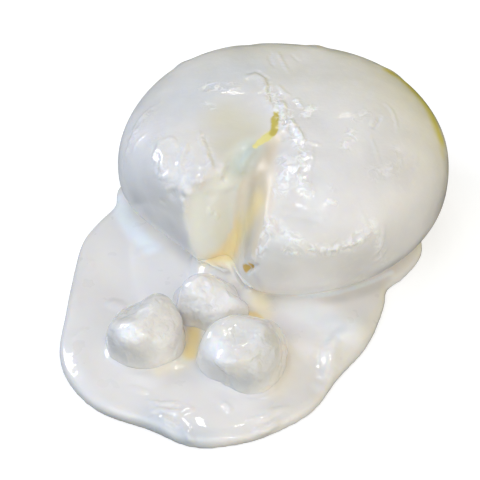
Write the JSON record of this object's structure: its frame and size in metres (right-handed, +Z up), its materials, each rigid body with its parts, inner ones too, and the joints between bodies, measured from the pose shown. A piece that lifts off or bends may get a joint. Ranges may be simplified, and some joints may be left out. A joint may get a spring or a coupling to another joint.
{
  "type": "opened stuffed mozzarella",
  "caption": "Soft stuffed mozzarella pouch cut open at the front, sagging into the thick cream that has run out of it, with curd nuggets lying in the cream.",
  "frame": {"origin": "on the surface it stands on, under the middle of the whole object's box", "axes": "+Z up; -Y to the front, where the pouch is cut open and the cream has run out"},
  "size_m": [0.1728, 0.2102, 0.0723],
  "materials": {
    "stretched_curd": "wet, satin white skin",
    "cream": "wet, glossy cream",
    "nugget_curd": "wet, lumpy white curd"
  },
  "bodies": {
    "root": {"pouch": "stretched_curd", "cream": "cream", "nugget_left": "nugget_curd", "nugget_middle": "nugget_curd", "nugget_right": "nugget_curd"}
  },
  "joints": []
}
